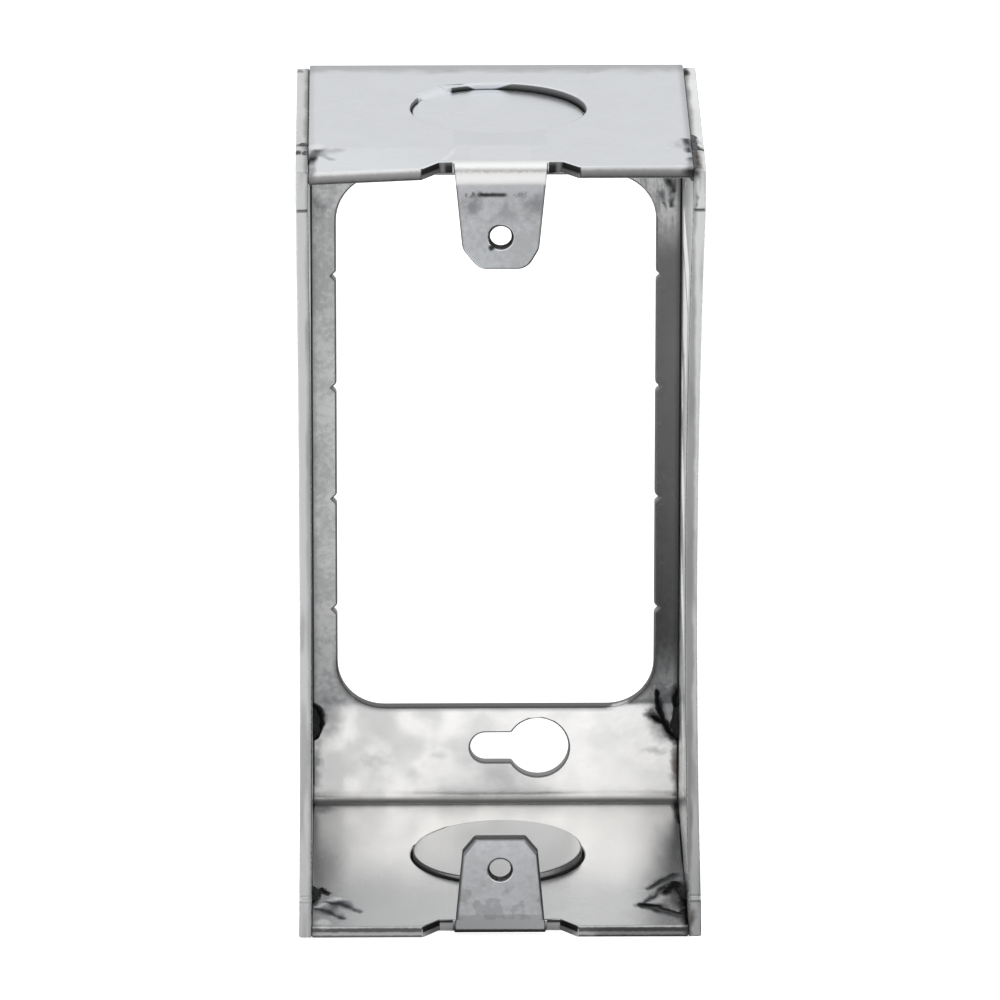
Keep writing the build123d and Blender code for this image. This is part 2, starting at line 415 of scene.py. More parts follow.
def zincBase(place, light, mottle):
    # cloud and grain together decide where the plating is dull
    cloud = noise(place, 0.20, 3.0, 0.6)
    grain = noise(place, 1.5, 2.0, 0.6)
    shade = ramp(cloud * 0.55 + grain * 0.45, 0.60, 0.38) * mottle
    return mixColour(shade, light, zincLook["dull"]), cloud, grain


def finishZinc(shader, colour, matt, grain, rough, facing):
    shader.inputs["Specular IOR Level"].default_value = 0.0
    rough = rough + grain * zincLook["grainRoughness"]
    finish(shader, colour, 1.0 - matt, rough, grain, zincLook["bumpDepth"], facing)


# The folded strip: at holds the place on it, masks for its parts and the noises that several layers share


def channelParts(place):
    at = SimpleNamespace(tree=place.tree, place=place)
    at.x, at.y, at.z = separate(place)
    at.absX = abs(at.x)
    at.fromMid = abs(at.z - halfHeight)
    at.inTop = ramp(at.z, *stripParts["top"])
    at.inFloor = ramp(at.z, *stripParts["floor"]) * ramp(at.y, *stripParts["floorBack"])
    at.inEars = ramp(at.y, *stripParts["earFront"]) * ramp(at.absX, *stripParts["earSide"])
    at.inBack = ramp(at.y, *stripParts["back"])
    at.inBend = ramp(at.y, *stripParts["bendFront"]) * ramp(at.absX, *stripParts["bendSide"])
    at.inBend = at.inBend * ramp(at.z, *stripParts["bendFoot"])
    return at


def channelBase(at):
    # the top wall is nearly plain, the bottom wall and the ears are calmer than the back
    cool = calc("SUBTRACT", larger(at.inTop, at.inEars), at.inBend, clamp=True)
    light = mixColour(cool, zincLook["light"], zincLook["cool"])
    mottle = ramp(at.inTop, 0.0, 1.0, 1.0, 0.1) * ramp(at.inFloor, 0.0, 1.0, 1.0, 0.3)
    mottle = mottle * ramp(at.inEars, 0.0, 1.0, 1.0, 0.4)
    colour, at.cloud, at.grain = zincBase(at.place, light, mottle)
    return colour


def wearLightAndShadeBackAndFloor(at, colour):
    # the lower corner is warm, and pale as painted light, with soft dull clouds; the right of the back is
    # dark as painted shade
    lower = larger(at.inBack * ramp(at.z, 15.4, 13.8), at.inFloor * ramp(at.y, -14.0, 6.0))
    at.wide = noise(at.place, 0.09, 2.0, 0.5)
    colour = mixColour(lower * ramp(at.wide, 0.36, 0.54, 0.88, 1.0), colour, zincLook["warm"])
    at.onLand = at.inBack * ramp(at.z, 15.8, 14.6)
    blots = ramp(noise(at.place, 0.24, 1.5, 0.5, (1.0, 0.6, 1.0)), 0.36, 0.66)
    landBlots = at.onLand * blots * ramp(at.x, -6.0, 10.0, 0.48, 0.15)
    floorBlots = at.inFloor * blots * 0.07
    colour = mixColour(larger(landBlots, floorBlots), colour, zincLook["midGrey"])
    darkRight = at.inBack * ramp(at.x, 12.0, 20.0) * band(at.z, 21.0, 79.0, 4.0) * 0.96
    colour = mixColour(darkRight, colour, zincLook["grime"])
    # the upper right corner of the back is bare, with faint upright streaks
    streak = noise(at.place, 1.0, 2.0, 0.6, (1.7, 1.0, 0.2))
    smoky = at.inBack * ramp(at.x, 16.5, 19.0) * ramp(at.z, 78.5, 81.5)
    colour = mixColour(smoky * ramp(streak, 0.50, 0.62) * 0.4, colour, bloomAndHighlight["colour"])
    colour = mixColour(smoky * ramp(streak, 0.48, 0.38) * 0.4, colour, heat["colour"])
    # painted shade darkens the bottom wall towards both ends; it is also a little darker towards the front
    floorEnds = at.inFloor * ramp(at.absX, 15.0, 23.0) * ramp(at.x, -1.0, 1.0, 0.53, 0.39)
    colour = mixColour(floorEnds, colour, zincLook["grime"])
    floorFront = at.inFloor * ramp(at.y, 5.0, -15.0) * ramp(at.x, -14.0, 8.0, 0.85, 0.5)
    return mixColour(floorFront, colour, zincLook["midGrey"])


def wearAndShadeTopWall(at, colour):
    # painted shade along the back edge of the top wall, where it turns down, and the forming mark behind the
    # ear
    rim = at.inTop * ramp(at.y + (at.cloud - 0.5) * 6.0, 16.9, 20.3)
    colour = mixColour(rim, colour, zincLook["rim"])
    formed = at.inTop * ramp(at.absX, 6.1, 5.6) * band(at.y, -14.2, -6.6, 0.9) * 0.14
    colour = mixColour(formed, colour, zincLook["coolDull"])
    arc = at.y + at.x * at.x * 0.06
    tab = at.inTop * ramp(at.absX, 4.1, 3.5) * band(arc, -20.5, -14.6, 0.35) * 0.5
    return mixColour(tab, colour, zincLook["coolPale"])


def cornerLevel(x, y):
    # how far the bent front left corner of the top wall lies below the rest, in millimetres
    aside = share(cornerSag["start"] - x, cornerSag["run"])
    ahead = share(cornerSag["yStart"] - y, cornerSag["yRun"])
    return aside * ahead * cornerSag["drop"]


def cutTone(at):
    # masks of the sheared faces (cut-outs, wall ends, rims of ears and knockouts) and their plain tone
    faceY, at.faceZ = flatness(at.tree, 1), flatness(at.tree, 2)
    cutBack = at.inBack * ramp(at.fromMid, 47.0, 46.5) * ramp(faceY, 0.995, 0.97)
    clearOfBends = larger(ramp(at.absX, 5.9, 6.0), ramp(at.y, -21.4, -21.2))
    inWall = ramp(at.fromMid, 47.9, 48.2) * clearOfBends * ramp(at.y, 21.2, 20.8)
    at.cutWall = inWall * ramp(at.faceZ, 0.85, 0.5)
    at.inEar = ramp(at.y, -22.0, -22.2) * ramp(at.fromMid, 48.5, 48.3)
    cutEar = at.inEar * ramp(faceY, 0.97, 0.8)
    at.cut = larger(cutBack, larger(at.cutWall, cutEar))
    tone = mixColour(ramp(at.grain, 0.4, 0.75), zincLook["edge"], zincLook["edgeMid"])
    tone = mixColour(ramp(at.absX, 23.0, 23.3), tone, zincLook["edge"])
    return mixColour(cutBack, tone, zincLook["openingEdge"])


def wallEndTone(at, tone):
    # the end of the upper wall is burnished at the top and dark below, with a painted highlight and shade
    # that make it look rolled over, and it is painted darker to the right as painted shade; that of the
    # lower one has a black upper half
    frontEdge = at.cutWall * ramp(at.y, -20.8, -21.2)
    at.inUpper = ramp(at.z, halfHeight, halfHeight + 1)
    at.inLower = ramp(at.z, halfHeight + 1, halfHeight)
    level = at.z + cornerLevel(at.x, at.y)
    upperShare = share(level - (sheetSize["height"] - sheetSize["sheet"]), sheetSize["sheet"])
    lowerShare = share(at.z, sheetSize["sheet"])
    flecks = (at.grain - 0.5) * 0.15
    upper = greyBands(upperShare + flecks, wallEnds["upper"])
    upper = mixColour(ramp(at.x, 4.0, 14.0, 0.0, 0.20), upper, zincLook["black"])
    lower = greyBands(lowerShare + flecks, wallEnds["lower"])
    tone = mixColour(frontEdge * at.inUpper, tone, upper)
    tone = mixColour(frontEdge * at.inLower, tone, lower)
    # relief notches beside the ears: black upper parts and corners as painted shade, paler below and in the
    # middle
    slant = ramp(flatness(at.tree, 0), 0.2, 0.4)
    inNotch = frontEdge * ramp(at.absX, 10.0, 9.8)
    upper = greyBands(upperShare, wallEnds["upperNotch"])
    upper = mixColour(band(at.absX, 6.9, 7.5, 0.25), upper, zincLook["notchSpot"])
    upper = mixColour(slant, upper, greyBands(upperShare, wallEnds["upperSlant"]))
    lower = greyBands(lowerShare, wallEnds["lowerNotch"])
    lower = mixColour(slant, lower, greyBands(lowerShare, wallEnds["lowerSlant"]))
    tone = mixColour(inNotch * at.inUpper, tone, upper)
    return mixColour(inNotch * at.inLower, tone, lower)


def knockoutRimTone(at, tone):
    # lower knockout: a painted highlight on the rim over painted shade at the foot; upper one: painted shade
    # below a share that grows to the right
    inDisc = at.cutWall * ramp(at.y, -13.0, -12.0)
    lowRise = share(at.z - sheetSize["sheet"], knockout["push"])
    lowDisc = inDisc * at.inLower
    tone = mixColour(lowDisc, tone, greyBands(lowRise, wallEnds["lowerDisc"]))
    lowEnds = lowDisc * ramp(flatness(at.tree, 0), 0.55, 0.85) * 0.75
    tone = mixColour(lowEnds, tone, zincLook["discEnd"])
    discLevel = knockout["level"] - at.x * knockout["slope"]
    rise = (at.z - discLevel) / knockout["push"]
    darkLeft = ramp(at.x, -2.6, -4.0) * 0.6
    darkShare = ramp(at.x, -0.8, 2.8, 0.0, 1.1) + darkLeft
    highDisc = inDisc * at.inUpper
    tone = mixColour(highDisc, tone, zincLook["cool"])
    below = ramp(rise - darkShare, 0.15, -0.15)
    shade = mixColour(rise, zincLook["discFoot"], zincLook["discHead"])
    shade = mixColour(ramp(at.x, -6.0, -8.5), shade, zincLook["discLeft"])
    tone = mixColour(highDisc * below, tone, shade)
    # the stretched ties stay bright
    tieOffset = vec("SUBTRACT", vec("MULTIPLY", at.place, (1, 1, 0)), knockout["tie"])
    at.bareTie = inDisc * ramp(vec("LENGTH", tieOffset), 3.4, 3.0)
    return mixColour(at.bareTie, tone, zincLook["cool"])


def shearLightAndShadeEdges(at, colour):
    tone = cutTone(at)
    tone = wallEndTone(at, tone)
    tone = knockoutRimTone(at, tone)
    return mixColour(at.cut, colour, tone)


def wearAndShadeKnockout(at, colour):
    # the pushed disc of the bottom wall is dull, with a fine line behind it and a dark ring of painted shade
    # at its foot
    onDisc = vec("SUBTRACT", vec("MULTIPLY", at.place, (1, 1, 0)), knockout["centre"])
    discReach = vec("LENGTH", onDisc)
    colour = mixColour(at.inFloor * ramp(discReach, 11.0, 10.4) * 0.62, colour, zincLook["midGrey"])
    line = at.inFloor * band(discReach, 10.5, 10.7, 0.16) * ramp(at.y, 0.0, 4.0)
    colour = mixColour(line * ramp(at.x, 3.0, -3.0, 0.1, 0.45), colour, zincLook["fold"])
    ring = at.inFloor * ramp(at.faceZ, 0.99, 0.96) * band(discReach, 10.0, 12.0, 0.4) * 0.8
    return mixColour(ring * ramp(at.faceZ, 0.3, 0.6), colour, zincLook["fold"])


def wearLightAndShadeEars(at, colour):
    # blotches towards the roots of the ears, and a black line of painted shade where a dent lies under the
    # bend of the upper one
    lowerBlotch = ramp(noise(at.place, 0.42, 3.0, 0.55), 0.48, 0.55, 0.0, 0.36)
    upperBlotch = ramp(noise(at.place, 0.30, 3.0, 0.6), 0.44, 0.62, 0.0, 0.40)
    blotch = mixValue(at.inUpper, lowerBlotch, upperBlotch)
    atRoots = at.inEar * ramp(at.fromMid, 42.8, 44.8)
    colour = mixColour(blotch * atRoots, colour, zincLook["blotch"])
    dent = at.inEar * band(at.x, -2.9, 0.7, 0.35) * band(at.z, 97.74, 98.2, 0.2) * 0.9
    colour = mixColour(dent, colour, sootAndShade["colour"])
    chips = at.inEar * band(at.x, -4.5, 3.6, 0.4) * band(at.z, 97.7, 98.3, 0.3)
    chips = chips * ramp(at.x, -3.2, -1.0, 0.85, 0.45) * ramp(at.grain, 0.44, 0.60)
    colour = mixColour(chips, colour, sootAndShade["colour"])
    # the bend is painted bright as a painted highlight, with a painted band of shade along the turn and more
    # painted shade below it; the turn is height plus a third of the depth
    turn = at.z + (at.y + sheetSize["inner"]) * 0.33 + (at.grain - 0.5) * 0.5
    colour = mixColour(at.inBend * 0.9, colour, zincLook["bend"])
    bendShadeBand = at.inBend * band(turn, 100.85, 101.4, 0.32) * ramp(at.grain, 0.30, 0.60, 0.6, 0.95)
    bendFootShade = at.inBend * ramp(turn, 100.9, 100.6) * 0.16
    return mixColour(larger(bendShadeBand, bendFootShade), colour, zincLook["bendShadeBand"])


def shadeEarOutlines(at, colour):
    # painted shade: a dark line just inside the outline of each ear; half width grows from the shoulder to
    # the root
    fromTip = at.fromMid - (halfHeight - earOutline["length"])
    side = (fromTip - earOutline["rise"]) * earOutline["slope"] + earOutline["shoulder"]
    sideGap = side - at.absX
    corner = fromTip * earOutline["cornerSlope"] + earOutline["tip"]
    rimGap = smaller(sideGap, smaller((corner - at.absX) * 0.8, fromTip))
    line = at.inEar * ramp(rimGap, 0.40, 0.12) * ramp(at.z, halfHeight, halfHeight - 1, 0.45, 0.8)
    return mixColour(line, colour, zincLook["fold"])


def grimeFolds(at, colour):
    # painted shade in the inner folds, and grime beside the plate seams
    foldGap = abs(at.fromMid - (halfHeight - sheetSize["sheet"] - 0.3))
    backGap = abs(at.y - (sheetSize["back"] - 0.3))
    at.inFold = ramp(foldGap + backGap, 0.12, 0.98, 0.95, 0.0)
    colour = mixColour(at.inFold, colour, zincLook["creaseShade"])
    foldShade = at.inBack * ramp(at.z, 4.4, 2.0) * ramp(at.wide, 0.40, 0.60, 0.32, 0.12)
    colour = mixColour(foldShade, colour, zincLook["creaseShade"])
    seam = ramp(at.absX, sheetSize["inner"] - 1.0, sheetSize["inner"] - 0.1)
    seam = seam * ramp(at.fromMid, 50.5, 50.2, 0.4, 0.8) * ramp(at.x, -1.0, 1.0, 0.5, 1.0)
    colour = mixColour(seam, colour, zincLook["fold"])
    # painted shade: the back darkens softly towards the rim of its opening; distance to a box with round
    # corners
    sideGap = larger(at.absX - (opening["half"] - opening["corner"]), 0.0)
    riseGap = larger(at.fromMid - (opening["reach"] - opening["corner"]), 0.0)
    toBox = vec("LENGTH", wire(at.tree, "ShaderNodeCombineXYZ", {0: sideGap, 1: riseGap}))
    openRim = at.inBack * ramp(toBox - opening["corner"], opening["shade"], 0.0)
    openRim = openRim * ramp(at.z, 24.0, 20.0) * 0.75
    return mixColour(openRim, colour, zincLook["fold"])


def landFacing(at):
    # the strip below the opening bulges, so that it looks up a little, most in the middle
    bulge = ramp(at.x, 4.0, 12.0, landBulge["left"], landBulge["right"])
    bulge = mixValue(band(at.x, -6.5, 6.5, 2.0), bulge, landBulge["middle"])
    bulge = bulge * at.onLand * ramp(at.z, 2.0, 3.4) * ramp(at.wide, 0.38, 0.56, 0.9, 1.0)
    return leaning(wire(at.tree, "ShaderNodeCombineXYZ", {2: bulge}))


def makeChannelZinc():
    material, shader, place = startMaterial("channelZinc")
    at = channelParts(place)
    colour = channelBase(at)
    for layer in (wearLightAndShadeBackAndFloor, wearAndShadeTopWall, shearLightAndShadeEdges, wearAndShadeKnockout, wearLightAndShadeEars, shadeEarOutlines, grimeFolds):
        colour = layer(at, colour)
    colour, matt = stainOver(place, colour, channelStains, channelMarks)
    dry = larger(larger(at.cut, at.inFold), at.bareTie)
    plain = ramp(at.onLand, 0.0, 1.0, zincLook["roughness"], zincLook["landRoughness"])
    plain = mixValue(at.inBend, plain, zincLook["bendRoughness"])
    facing = landFacing(at)
    rough = mixValue(dry, plain, zincLook["edgeRoughness"])
    finishZinc(shader, colour, matt, at.grain, rough, facing)
    return material


# Side plates: painted shade inside with upright bars of painted highlight, a sheared rim that is burnished
# on its outer half

plateLook = {
    "inner": (0.36, 0.365, 0.37),
    "barHighlight": (0.98, 0.98, 0.98),
    "fracture": (0.55, 0.555, 0.56),
    "leftRim": (0.77, 0.775, 0.78),
    "rightRim": (0.93, 0.935, 0.94),
    "leftTop": (0.68, 0.685, 0.69),
    "rightTop": (0.86, 0.865, 0.87),
    "seam": (0.24, 0.24, 0.24),
    "mottle": 0.8,
    "upperStep": 95.85,
    "lowerStep": 5.15,
    "lean": 0.16,
}
# Painted highlight bars on the inner faces: reach across, along and up, in millimetres
innerHighlightBars = (
    {"across": (20, 25), "along": (-17, 13), "up": (80.7, 85.8), "strength": 1.0},
    {"across": (20, 25), "along": (-15, 11), "up": (69.4, 79.4), "strength": 0.75},
    {"across": (20, 25), "along": (8, 20), "up": (58.4, 64.6), "strength": 0.95},
    {"across": (20, 25), "along": (-12, 13), "up": (48.0, 56.0), "strength": 0.85},
    {"across": (20, 25), "along": (-12, 13), "up": (33.6, 40.4), "strength": 0.8},
    {"across": (20, 25), "along": (-6, 6), "up": (18.0, 25.0), "strength": 0.5},
    {"across": (-25, -20), "along": (-20, 16), "up": (79.0, 84.2), "strength": 1.0},
    {"across": (-25, -20), "along": (-18, 14), "up": (48.0, 56.0), "strength": 0.5},
)
plateStains = (
    spot(heat, (-24.9, -12.8, 101.2), (1.2, 0.8, 0.6), 0.8, 0.3),
    spot(sootAndShade, (-25.0, -16.0, 101.2), (0.7, 0.9, 0.6), 0.85, 0.4),
    spot(heat, (-25.0, 20.6, 101.0), (0.8, 1.0, 0.8), 0.8, 0.3),
    spot(heat, (-23.8, 4.0, 84.0), (0.6, 18.0, 5.0), 0.5, 0.2),
    spot(sootAndShade, (24.2, 19.0, 101.0), (0.7, 2.0, 0.8), 0.9, 0.4),
    spot(sootAndShade, (23.8, 6.0, 1.8), (0.6, 15.0, 1.0), 0.9, 0.3),
    spot(sootAndShade, (23.8, -15.0, 2.6), (0.8, 8.0, 1.5), 0.9, 0.2),
    spot(rust, (24.1, -23.6, 2.4), (0.8, 3.0, 2.4), 0.85, 0.1),
    spot(sootAndShade, (23.9, -23.6, 1.0), (0.8, 3.0, 1.6), 0.9, 0.2),
    spot(sootAndShade, (-23.8, -13.2, 2.4), (0.8, 4.0, 1.4), 0.9, 0.2),
    spot(sootAndShade, (-23.8, 21.4, 12.6), (0.8, 1.8, 3.4), 0.9, 0.2),
    spot(sootAndShade, (23.8, 21.4, 11.0), (0.8, 1.6, 6.6), 0.85, 0.2),
)
plateMarks = (
    mark(sootAndShade, ((24.0, -9.2, 101.2), (24.2, -12.4, 101.2)), (0.7, 1.0)),
    mark(sootAndShade, ((23.9, -14.8, 101.2), (25.2, -15.4, 101.2)), (1.2, 0.7)),
    mark(rust, ((24.2, -16.4, 101.2), (24.5, -20.4, 101.2), (24.2, -23.6, 101.0)), (0.8, 0.6, 0.9)),
    mark(sootAndShade, ((24.0, -23.6, 100.6), (23.8, -22.4, 97.8)), (1.1, 0.7)),
    mark(heat, ((24.6, -23.6, 99.6), (24.2, -23.6, 96.6)), (0.6, 0.3)),
)


def plateRimTone(x, z, across, streak):
    # dark fracture on the inner half, burnished and streaky on the outer half, grime beside the wall; the
    # right plate's rim and top are painted lighter than the left's, as painted light
    onRight = ramp(x, -1.0, 1.0)
    burnished = mixColour(onRight, plateLook["leftRim"], plateLook["rightRim"])
    tone = mixColour(ramp(across, 23.9, 24.4), plateLook["fracture"], burnished)
    tone = mixColour(ramp(streak, 0.50, 0.36, 0.0, 0.45), tone, zincLook["edgeMid"])
    onTop = ramp(z, 100.6, 101.0)
    topTone = mixColour(onRight, plateLook["leftTop"], plateLook["rightTop"])
    tone = mixColour(onTop * 0.8, tone, topTone)
    return mixColour(onTop * ramp(across, 24.7, 23.9) * 0.8, tone, plateLook["seam"])


def makePlateZinc():
    material, shader, place = startMaterial("plateZinc")
    x, y, z = separate(place)
    colour, cloud, grain = zincBase(place, zincLook["light"], plateLook["mottle"])
    # inner faces are painted darker as painted shade, with upright bars of painted highlight where the sheet
    # bulges
    inside = ramp(faceAxis(place.tree, 0) * calc("SIGN", x), -0.4, -0.8)
    streak = noise(place, 0.5, 2.0, 0.55, (1.0, 0.16, 0.14))
    colour = mixColour(inside * ramp(streak, 0.60, 0.40, 0.45, 0.95), colour, plateLook["inner"])
    tilt = 0.0
    for barHighlight in innerHighlightBars:
        lit = inside * band(x, *barHighlight["across"], 0.2) * band(y, *barHighlight["along"], 2.0)
        lit = lit * band(z, *barHighlight["up"], 0.4) * barHighlight["strength"]
        colour = mixColour(lit, colour, plateLook["barHighlight"])
        tilt = tilt + lit
    # the bulges lean a little towards the open front
    facing = leaning(vec("SCALE", (0.0, -plateLook["lean"], 0.0), tilt))
    cut = ramp(flatness(place.tree, 0), 0.8, 0.4)
    across = abs(x) + (cloud - 0.5) * 0.8
    colour = mixColour(cut, colour, plateRimTone(x, z, across, streak))
    # painted shade: a dark line under the upper step of the front edge and on the lower one
    upperLine = ramp(abs(z - plateLook["upperStep"]), 0.35, 0.12)
    lowerLine = ramp(abs(z - plateLook["lowerStep"]), 0.60, 0.30, 0.0, 0.3) * ramp(x, -1.0, 1.0, 1.0, 2.2)
    stepLine = cut * larger(upperLine, lowerLine) * ramp(y, -22.4, -22.8) * 0.75
    colour = mixColour(stepLine, colour, zincLook["fold"])
    colour, matt = stainOver(place, colour, plateStains, plateMarks)
    rough = ramp(cut, 0.0, 1.0, zincLook["roughness"], zincLook["edgeRoughness"])
    finishZinc(shader, colour, matt, grain, rough, facing)
    return material


burntLook = {
    "dark": (0.015, 0.015, 0.015),
    "pale": (0.50, 0.505, 0.51),
    "bare": (0.55, 0.55, 0.555),
    "metallic": 0.15,
    "bumpDepth": 0.05,
}


def makeBurntWeld():
    # burnt crust that pales towards bare zinc as the tone attribute goes from 0 to 1
    material, shader, place = startMaterial("burntWeld")
    crust = noise(place, 1.4, 3.0, 0.6)
    tone = wire(place.tree, "ShaderNodeAttribute", output="Fac", attribute_name="tone")
    colour = mixColour(tone, burntLook["dark"], burntLook["pale"])
    colour = mixColour(ramp(crust, 0.64, 0.76, 0.0, 0.7), colour, burntLook["bare"])
    shader.inputs["Specular IOR Level"].default_value = 0.0
    rough = ramp(crust, 0.3, 0.7, 0.55, 0.35)
    finish(shader, colour, burntLook["metallic"], rough, crust, burntLook["bumpDepth"])
    return material


threadLook = {
    "bare": (0.17, 0.17, 0.172),
    "grime": (0.06, 0.058, 0.055),
    "bareRoughness": 0.30,
    "grimeRoughness": 0.5,
    "metallic": 1.0,
    "bumpDepth": 0.02,
}


def makeThreadSteel():
    # cut steel with streaks of grime round the bore
    material, shader, place = startMaterial("threadSteel")
    streak = noise(place, 1.6, 3.0, 0.6, (1.0, 2.5, 1.0))
    grimy = ramp(streak, 0.42, 0.62)
    colour = mixColour(grimy, threadLook["bare"], threadLook["grime"])
    rough = mixValue(grimy, threadLook["bareRoughness"], threadLook["grimeRoughness"])
    finish(shader, colour, threadLook["metallic"], rough, streak, threadLook["bumpDepth"])
    return material


channelZinc = makeChannelZinc()
plateZinc = makePlateZinc()
burntWeld = makeBurntWeld()
threadSteel = makeThreadSteel()
print("materials made")

# Sheet metal nodes keep their shape; merging, dissolving flat faces and a small bevel soften their edges

edgeSoftening = {
    "merge": 0.002 * mm,
    "width": 0.25 * mm,
    "segments": 3,
    "angle": math.radians(32),
    "channelFlat": math.radians(0.5),
    "plateFlat": math.radians(0.05),
    "tieShare": 0.3,
    "rootShare": 0.5,
    "root": (5.6, 21.3, 0.0),  # distances from the middle planes and the ground
}


def startGroup(name):
    # node group of a modifier, with geometry in and out
    group = bpy.data.node_groups.new(name, "GeometryNodeTree")
    for direction in ("INPUT", "OUTPUT"):
        group.interface.new_socket("Geometry", in_out=direction, socket_type="NodeSocketGeometry")
    return group, wire(group, "NodeGroupInput")


def endGroup(group, geometry):
    addNode(group, "NodeGroupOutput", {0: geometry})
    return group


def plainNormals():
    # drops the stored normals, so that the bevel's own come through
    group, geometry = startGroup("plainNormals")
    return endGroup(group, wire(group, "GeometryNodeSetMeshNormal", {0: geometry, "Remove Custom": True}))


def bevelShares():
    # sharp edges get the full bevel, but less in the tight corners of the ties and the lower ear's root
    group, geometry = startGroup("bevelShares")
    angle = wire(group, "GeometryNodeInputMeshEdgeAngle", output="Unsigned Angle")
    sharp = calc("GREATER_THAN", angle, edgeSoftening["angle"])
    place = vec("SCALE", wire(group, "GeometryNodeInputPosition"), 1 / mm)
    fromTie = vec("SUBTRACT", vec("MULTIPLY", place, (1, 1, 0)), knockout["tie"])
    tieShare = ramp(vec("LENGTH", fromTie), 3.2, 4.2, edgeSoftening["tieShare"], 1.0)
    fromRoot = vec("SUBTRACT", vec("ABSOLUTE", place), edgeSoftening["root"])
    rootShare = ramp(vec("LENGTH", fromRoot), 0.9, 1.6, edgeSoftening["rootShare"], 1.0)
    inputs = {0: geometry, "Name": "bevel_weight_edge", "Value": sharp * tieShare * rootShare}
    settings = {"domain": "EDGE", "data_type": "FLOAT"}
    return endGroup(group, wire(group, "GeometryNodeStoreNamedAttribute", inputs, **settings))


def boxLimits():
    # holds every point of the bevel inside the part's own box
    group, geometry = startGroup("boxLimits")
    place = wire(group, "GeometryNodeInputPosition")
    place = vec("MINIMUM", vec("MAXIMUM", place, tuple(cadBox[0])), tuple(cadBox[1]))
    return endGroup(group, wire(group, "GeometryNodeSetPosition", {0: geometry, "Position": place}))


def soften(obj, normals, shares, limits, flatAngle):
    weld = obj.modifiers.new("merge", "WELD")
    weld.merge_threshold = edgeSoftening["merge"]
    obj.modifiers.new("plainNormals", "NODES").node_group = normals
    flat = obj.modifiers.new("flatFaces", "DECIMATE")
    flat.decimate_type = "DISSOLVE"
    flat.angle_limit = flatAngle
    obj.modifiers.new("bevelShares", "NODES").node_group = shares
    bevel = obj.modifiers.new("edgeRadius", "BEVEL")
    bevel.width = edgeSoftening["width"]
    bevel.segments = edgeSoftening["segments"]
    bevel.limit_method = "WEIGHT"
    bevel.use_clamp_overlap = False
    obj.modifiers.new("boxLimits", "NODES").node_group = limits
    weighted = obj.modifiers.new("faceNormals", "WEIGHTED_NORMAL")
    weighted.mode = "FACE_AREA"
    weighted.weight = 100


normals, shares, limits = plainNormals(), bevelShares(), boxLimits()
sheetPieces = (
    ("channel", channelZinc, edgeSoftening["channelFlat"]),
    ("left_side", plateZinc, edgeSoftening["plateFlat"]),
    ("right_side", plateZinc, edgeSoftening["plateFlat"]),
)
for name, material, flatAngle in sheetPieces:
    nodes[name].data.materials[0] = material
    soften(nodes[name], normals, shares, limits, flatAngle)
print("sheet metal finished")

# New pieces are grids of points worked out with numpy, in millimetres


def addPiece(name, points, faces, material, tone=None):
    mesh = bpy.data.meshes.new(name)
    mesh.from_pydata((points * mm).tolist(), [], faces.tolist())
    mesh.polygons.foreach_set("use_smooth", np.ones(len(mesh.polygons), dtype=bool))
    if tone is not None:
        mesh.attributes.new("tone", "FLOAT", "POINT").data.foreach_set("value", tone.astype(np.float32))
    mesh.materials.append(material)
    mesh.update()
    obj = bpy.data.objects.new(name, mesh)
    scene.collection.objects.link(obj)
    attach(obj, "root")
    return obj


def joinBlocks(blocks):
    # blocks of points and faces become one list, with the face numbers moved along
    points, faces, first = [], [], 0
    for blockPoints, blockFaces in blocks:
        points.append(blockPoints)
        faces.append(blockFaces + first)
        first += len(blockPoints)
    return np.concatenate(points), np.concatenate(faces)


def wrapGrid(grid):
    # quads over a grid of points that is closed round its columns
    rows, columns, _ = grid.shape
    index = np.arange(rows * columns).reshape(rows, columns)
    ahead = np.roll(index, -1, axis=1)
    quads = np.stack([index[:-1], ahead[:-1], ahead[1:], index[1:]], axis=-1).reshape(-1, 4)
    return grid.reshape(-1, 3), quads


weldBeads = {
    "radius": 0.85,
    "length": 4.4,
    "rows": 26,
    "columns": 22,
    "wallY": -12.8,
    "rise": 12.6,
    "sink": 0.12,
    "tone": 0.08,
}


def lump(centre, along, radii, seed):
    # ellipsoid with its long axis given; its radius swells and shrinks by a few sine waves
    along = np.asarray(along, dtype=float)
    side = np.cross(along, (0.35, 0.51, 0.79))
    side /= np.linalg.norm(side)
    third = np.cross(along, side)
    polar = np.linspace(0.02, math.pi - 0.02, weldBeads["rows"])[:, None]
    turn = np.linspace(0, 2 * math.pi, weldBeads["columns"], endpoint=False)[None, :]
    phase = np.random.default_rng(seed).uniform(0, 2 * math.pi, 4)
    swell = 1 + 0.13 * np.sin(3 * turn + 4 * polar + phase[0]) + 0.10 * np.sin(5 * polar + phase[1])
    swell += 0.08 * np.sin(2 * turn - 7 * polar + phase[2]) + 0.05 * np.sin(6 * turn + 9 * polar + phase[3])
    parts = [np.cos(polar) * radii[0] + 0 * turn, np.sin(polar) * np.cos(turn) * radii[1] * swell,
             np.sin(polar) * np.sin(turn) * radii[1] * swell]
    shape = sum(part[..., None] * axis for part, axis in zip(parts, (along, side, third)))
    return wrapGrid(np.asarray(centre, dtype=float) + shape)


